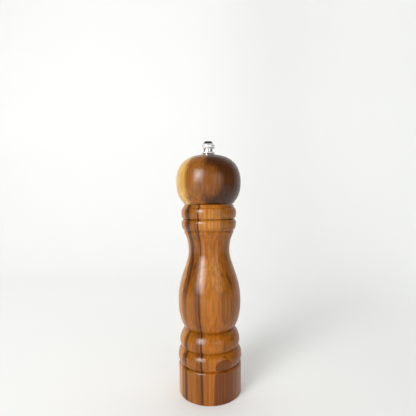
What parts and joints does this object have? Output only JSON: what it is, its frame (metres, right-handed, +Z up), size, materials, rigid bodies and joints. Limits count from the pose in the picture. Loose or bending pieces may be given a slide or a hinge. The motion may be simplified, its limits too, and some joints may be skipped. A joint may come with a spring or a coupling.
{
  "type": "pepper mill",
  "caption": "Turned wooden pepper mill: a ball head turns a square shaft and an adjustable burr grinder in the open base; a chrome knob on top sets how fine it grinds.",
  "frame": {"origin": "centre of the base, on the surface the mill stands on", "axes": "+Z up along the turning axis, from the base to the knob; -Y faces the viewer of the front"},
  "size_m": [0.0654, 0.0654, 0.2528],
  "materials": {
    "body_wood": "lacquered orange-brown wood with dark streaks",
    "head_wood": "lacquered brown wood with yellow sapwood on one side",
    "chrome": "polished chrome plate",
    "steel": "plain satin steel",
    "spring_steel": "drawn spring wire",
    "ceramic": "unglazed off-white ceramic",
    "black_plastic": "moulded black plastic"
  },
  "bodies": {
    "body": {"body_shell": "body_wood", "grinder_housing": "black_plastic", "bridge": "steel", "stator": "ceramic", "base_plate": "steel", "base_plate_screw_1": "steel", "base_plate_screw_2": "steel", "base_plate_screw_3": "steel"},
    "drive_bush": {"shaft_bush": "black_plastic", "spring": "spring_steel"},
    "spindle": {"shaft": "steel", "spring_washer": "steel", "rotor": "ceramic", "rotor_washer": "steel", "rotor_nut": "steel"},
    "head": {"head": "head_wood", "head_ferrule": "chrome", "drive_plate": "steel", "drive_plate_screw_1": "steel", "drive_plate_screw_2": "steel"},
    "knob": {"adjusting_knob": "chrome"}
  },
  "joints": [
    {"name": "mill_turn", "type": "hinge", "parent": "body", "child": "drive_bush", "pos_m": [0, 0, 0.035], "axis": [0, 0, 1], "continuous": true},
    {"name": "grind_adjust", "type": "slide", "parent": "drive_bush", "child": "spindle", "axis": [0, 0, 1], "range_m": [0, 0.0016], "deforming": ["spring"]},
    {"name": "head_lift", "type": "slide", "parent": "drive_bush", "child": "head", "axis": [0, 0, 1], "range_m": [0, 0.08]},
    {"name": "knob_turn", "type": "hinge", "parent": "head", "child": "knob", "pos_m": [0, 0, 0.2404], "axis": [0, 0, 1], "range_deg": [-720, 0]}
  ],
  "couplings": [
    {"joint": "knob_turn", "follows": "grind_adjust", "rad_per_m": -7854}
  ]
}
